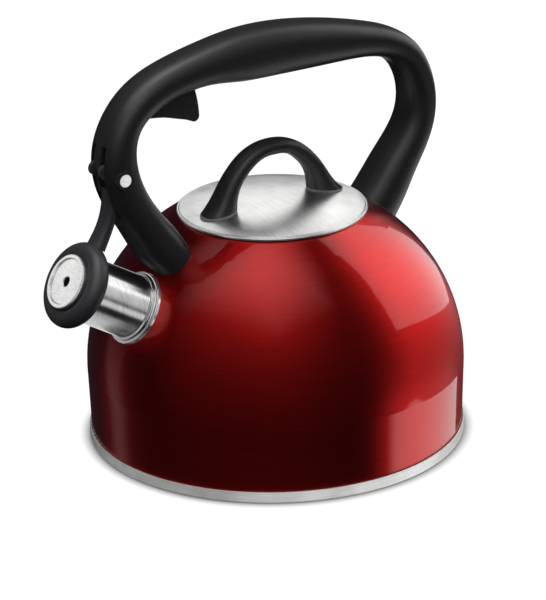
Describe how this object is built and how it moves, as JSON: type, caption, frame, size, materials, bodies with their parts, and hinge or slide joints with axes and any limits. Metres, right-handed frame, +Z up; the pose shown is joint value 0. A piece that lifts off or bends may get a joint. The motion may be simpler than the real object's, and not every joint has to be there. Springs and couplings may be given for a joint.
{
  "type": "stovetop whistling kettle",
  "caption": "Domed stovetop kettle with a lift-off lid, a fixed arched handle and a trigger that swings a whistle cap off its straight spout.",
  "frame": {"origin": "centre of the base, on the surface that the kettle stands on", "axes": "+Z up, spout towards -X, handle in the X-Z plane"},
  "size_m": [0.223, 0.19, 0.213],
  "materials": {
    "body_lacquer": "clear red lacquer over brushed steel, high gloss",
    "base_steel": "brushed round the base",
    "base_aluminium": "milled",
    "inner_steel": "plain drawn steel",
    "spout_steel": "bright brushed",
    "lid_steel": "spun and brushed in circles",
    "whistle_steel": "satin",
    "pin_steel": "polished",
    "hardware_steel": "plain",
    "handle_plastic": "fine matte, moulded",
    "cap_plastic": "fine matte, moulded",
    "lid_handle_plastic": "fine matte, moulded",
    "silicone": "silicone rubber",
    "foot_seat": "grey silicone"
  },
  "bodies": {
    "root": {"body_shell": "body_lacquer", "base_cladding": "base_steel", "heat_disc": "base_aluminium", "bottom_pan": "inner_steel", "neck_ring": "inner_steel", "spout_tube": "spout_steel", "spout_collar": "spout_steel", "handle": "handle_plastic", "handle_channel_cover": "handle_plastic", "front_bracket": "hardware_steel", "rear_bracket": "hardware_steel", "front_bracket_screw": "hardware_steel", "rear_bracket_screw": "hardware_steel", "hinge_pin": "pin_steel", "trigger_pin": "hardware_steel", "return_spring": "hardware_steel"},
    "cap": {"cap_arm": "cap_plastic", "drive_pin": "hardware_steel", "whistle_front_plate": "whistle_steel", "whistle_rear_plate": "whistle_steel", "whistle_cup": "whistle_steel", "cap_gasket": "silicone"},
    "trigger": {"trigger_lever": "cap_plastic"},
    "lid": {"lid_cover": "lid_steel", "lid_skirt": "inner_steel", "lid_gasket": "silicone", "lid_handle": "lid_handle_plastic", "lid_foot_gasket_front": "foot_seat", "lid_foot_gasket_rear": "foot_seat", "lid_screw_front": "hardware_steel", "lid_screw_rear": "hardware_steel", "lid_washer_front": "hardware_steel", "lid_washer_rear": "hardware_steel"}
  },
  "joints": [
    {"name": "lid_lift", "type": "slide", "parent": "root", "child": "lid", "axis": [0, 0, 1], "range_m": [0, 0.028]},
    {"name": "cap_swing", "type": "hinge", "parent": "root", "child": "cap", "pos_m": [-0.0907, 0, 0.154], "axis": [0, 1, 0], "range_deg": [0, 40], "stiffness_Nm_per_rad": 0.02, "springref_deg": -28.65},
    {"name": "trigger_squeeze", "type": "hinge", "parent": "root", "child": "trigger", "pos_m": [-0.076, 0, 0.184], "axis": [0, -1, 0], "range_deg": [0, 12.6]}
  ],
  "couplings": [
    {"joint": "trigger_squeeze", "follows": "cap_swing", "ratio": 0.315}
  ]
}
